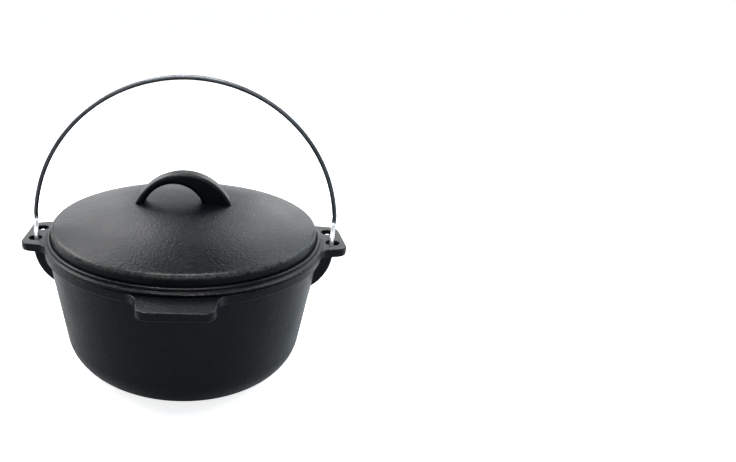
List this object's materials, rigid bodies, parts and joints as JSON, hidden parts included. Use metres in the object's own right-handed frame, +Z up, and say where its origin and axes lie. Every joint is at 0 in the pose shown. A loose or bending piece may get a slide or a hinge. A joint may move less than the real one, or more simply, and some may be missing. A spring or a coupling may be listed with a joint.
{
  "type": "camp dutch oven",
  "caption": "Cast-iron camp oven: flat-based round pot with holed ears and a front tab, domed flanged lid with a cast loop handle, and a swinging wire bail.",
  "frame": {"origin": "centre of the flat base, on the axis of the pot", "axes": "+Z up along the axis of the pot, -Y towards the front tab, +X through the ears along the axis the bail turns on"},
  "size_m": [0.305, 0.288, 0.2726],
  "materials": {
    "iron": "seasoned black with a fine sand-cast grain",
    "wire": "zinc-plated drawn wire"
  },
  "bodies": {
    "pot": {"pot": "iron"},
    "lid": {"lid": "iron"},
    "bail": {"bail": "wire"}
  },
  "joints": [
    {"name": "bail_swing", "type": "hinge", "parent": "pot", "child": "bail", "pos_m": [0, 0, 0.1235], "axis": [1, 0, 0], "range_deg": [-24, 92.5]},
    {"name": "lid_lift", "type": "slide", "parent": "pot", "child": "lid", "axis": [0, 0, 1], "range_m": [0, 0.04]}
  ]
}
